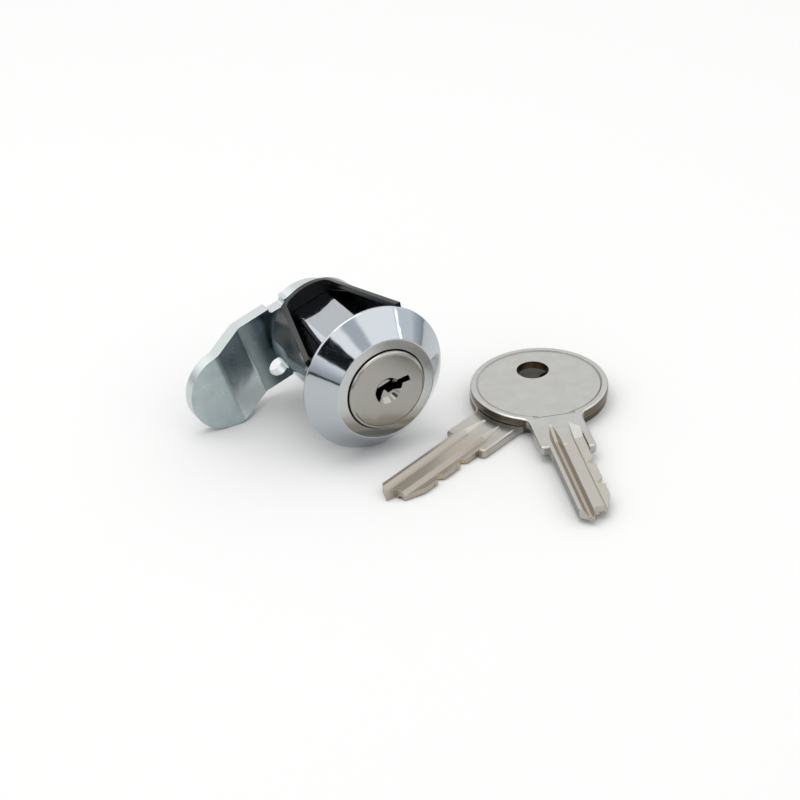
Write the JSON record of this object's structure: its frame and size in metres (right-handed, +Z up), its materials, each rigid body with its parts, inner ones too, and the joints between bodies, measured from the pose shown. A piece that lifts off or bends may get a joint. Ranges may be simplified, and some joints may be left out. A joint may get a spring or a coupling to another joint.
{
  "type": "mailbox lock",
  "caption": "Cam lock for a mailbox door: chromed round flange and flatted barrel, turning plug with wafers, black spring clip, cranked cam, and flat round-bow keys lying beside it",
  "frame": {"origin": "on the lock's axis, in the back face of the flange, which meets the door", "axes": "+Y is the lock's axis from the front to the rear, +Z up from the table that the lock and keys lie on, +X to the right"},
  "size_m": [0.0635, 0.0645, 0.0244],
  "materials": {
    "chromed_zinc": "polished chrome plating on die-cast zinc",
    "nickel_plated_zinc": "polished nickel plating on die-cast zinc",
    "zinc_plated_steel": "satin zinc plating",
    "cam_steel": "satin zinc plating with a blue passivate, sheared edges bright",
    "black_spring_steel": "glossy black finish on hardened spring steel",
    "wafer_brass": "stamped brass",
    "spring_steel": "drawn wire",
    "nickel_plated_brass": "satin nickel plating, worn to yellow brass in the cuts"
  },
  "bodies": {
    "housing": {"housing": "chromed_zinc"},
    "plug": {"plug": "nickel_plated_zinc", "stop_washer": "zinc_plated_steel", "cam": "cam_steel", "lock_washer": "zinc_plated_steel", "cam_screw": "zinc_plated_steel", "wafer_spring_1": "spring_steel", "wafer_spring_2": "spring_steel", "wafer_spring_3": "spring_steel", "wafer_spring_4": "spring_steel", "wafer_spring_5": "spring_steel", "wafer_spring_6": "spring_steel"},
    "fixing_clip": {"fixing_clip": "black_spring_steel"},
    "upper_key": {"upper_key": "nickel_plated_brass"},
    "lower_key": {"lower_key": "nickel_plated_brass"},
    "wafer_1": {"wafer_1": "wafer_brass"},
    "wafer_2": {"wafer_2": "wafer_brass"},
    "wafer_3": {"wafer_3": "wafer_brass"},
    "wafer_4": {"wafer_4": "wafer_brass"},
    "wafer_5": {"wafer_5": "wafer_brass"},
    "wafer_6": {"wafer_6": "wafer_brass"}
  },
  "joints": [
    {"name": "plug_turn", "type": "hinge", "parent": "housing", "child": "plug", "pos_m": [0, 0, 0], "axis": [0, 1, 0], "range_deg": [0, 90]},
    {"name": "clip_slide", "type": "slide", "parent": "housing", "child": "fixing_clip", "axis": [0, 1, 0], "range_m": [0, 0.002]},
    {"name": "wafer_1_slide", "type": "slide", "parent": "plug", "child": "wafer_1", "axis": [-0.9527, 0, -0.304], "range_m": [0, 0.0005], "deforming": ["wafer_spring_1"]},
    {"name": "wafer_2_slide", "type": "slide", "parent": "plug", "child": "wafer_2", "axis": [-0.9527, 0, -0.304], "range_m": [0, 0.0005], "deforming": ["wafer_spring_2"]},
    {"name": "wafer_3_slide", "type": "slide", "parent": "plug", "child": "wafer_3", "axis": [-0.9527, 0, -0.304], "range_m": [0, 0.0005], "deforming": ["wafer_spring_3"]},
    {"name": "wafer_4_slide", "type": "slide", "parent": "plug", "child": "wafer_4", "axis": [-0.9527, 0, -0.304], "range_m": [0, 0.0005], "deforming": ["wafer_spring_4"]},
    {"name": "wafer_5_slide", "type": "slide", "parent": "plug", "child": "wafer_5", "axis": [-0.9527, 0, -0.304], "range_m": [0, 0.0005], "deforming": ["wafer_spring_5"]},
    {"name": "wafer_6_slide", "type": "slide", "parent": "plug", "child": "wafer_6", "axis": [-0.9527, 0, -0.304], "range_m": [0, 0.0005], "deforming": ["wafer_spring_6"]},
    {"name": "upper_key_lift", "type": "slide", "parent": "housing", "child": "upper_key", "axis": [0, 0, 1], "range_m": [0, 0.04]},
    {"name": "lower_key_pull", "type": "slide", "parent": "housing", "child": "lower_key", "axis": [0.9265, 0.3762, 0], "range_m": [0, 0.06]}
  ]
}
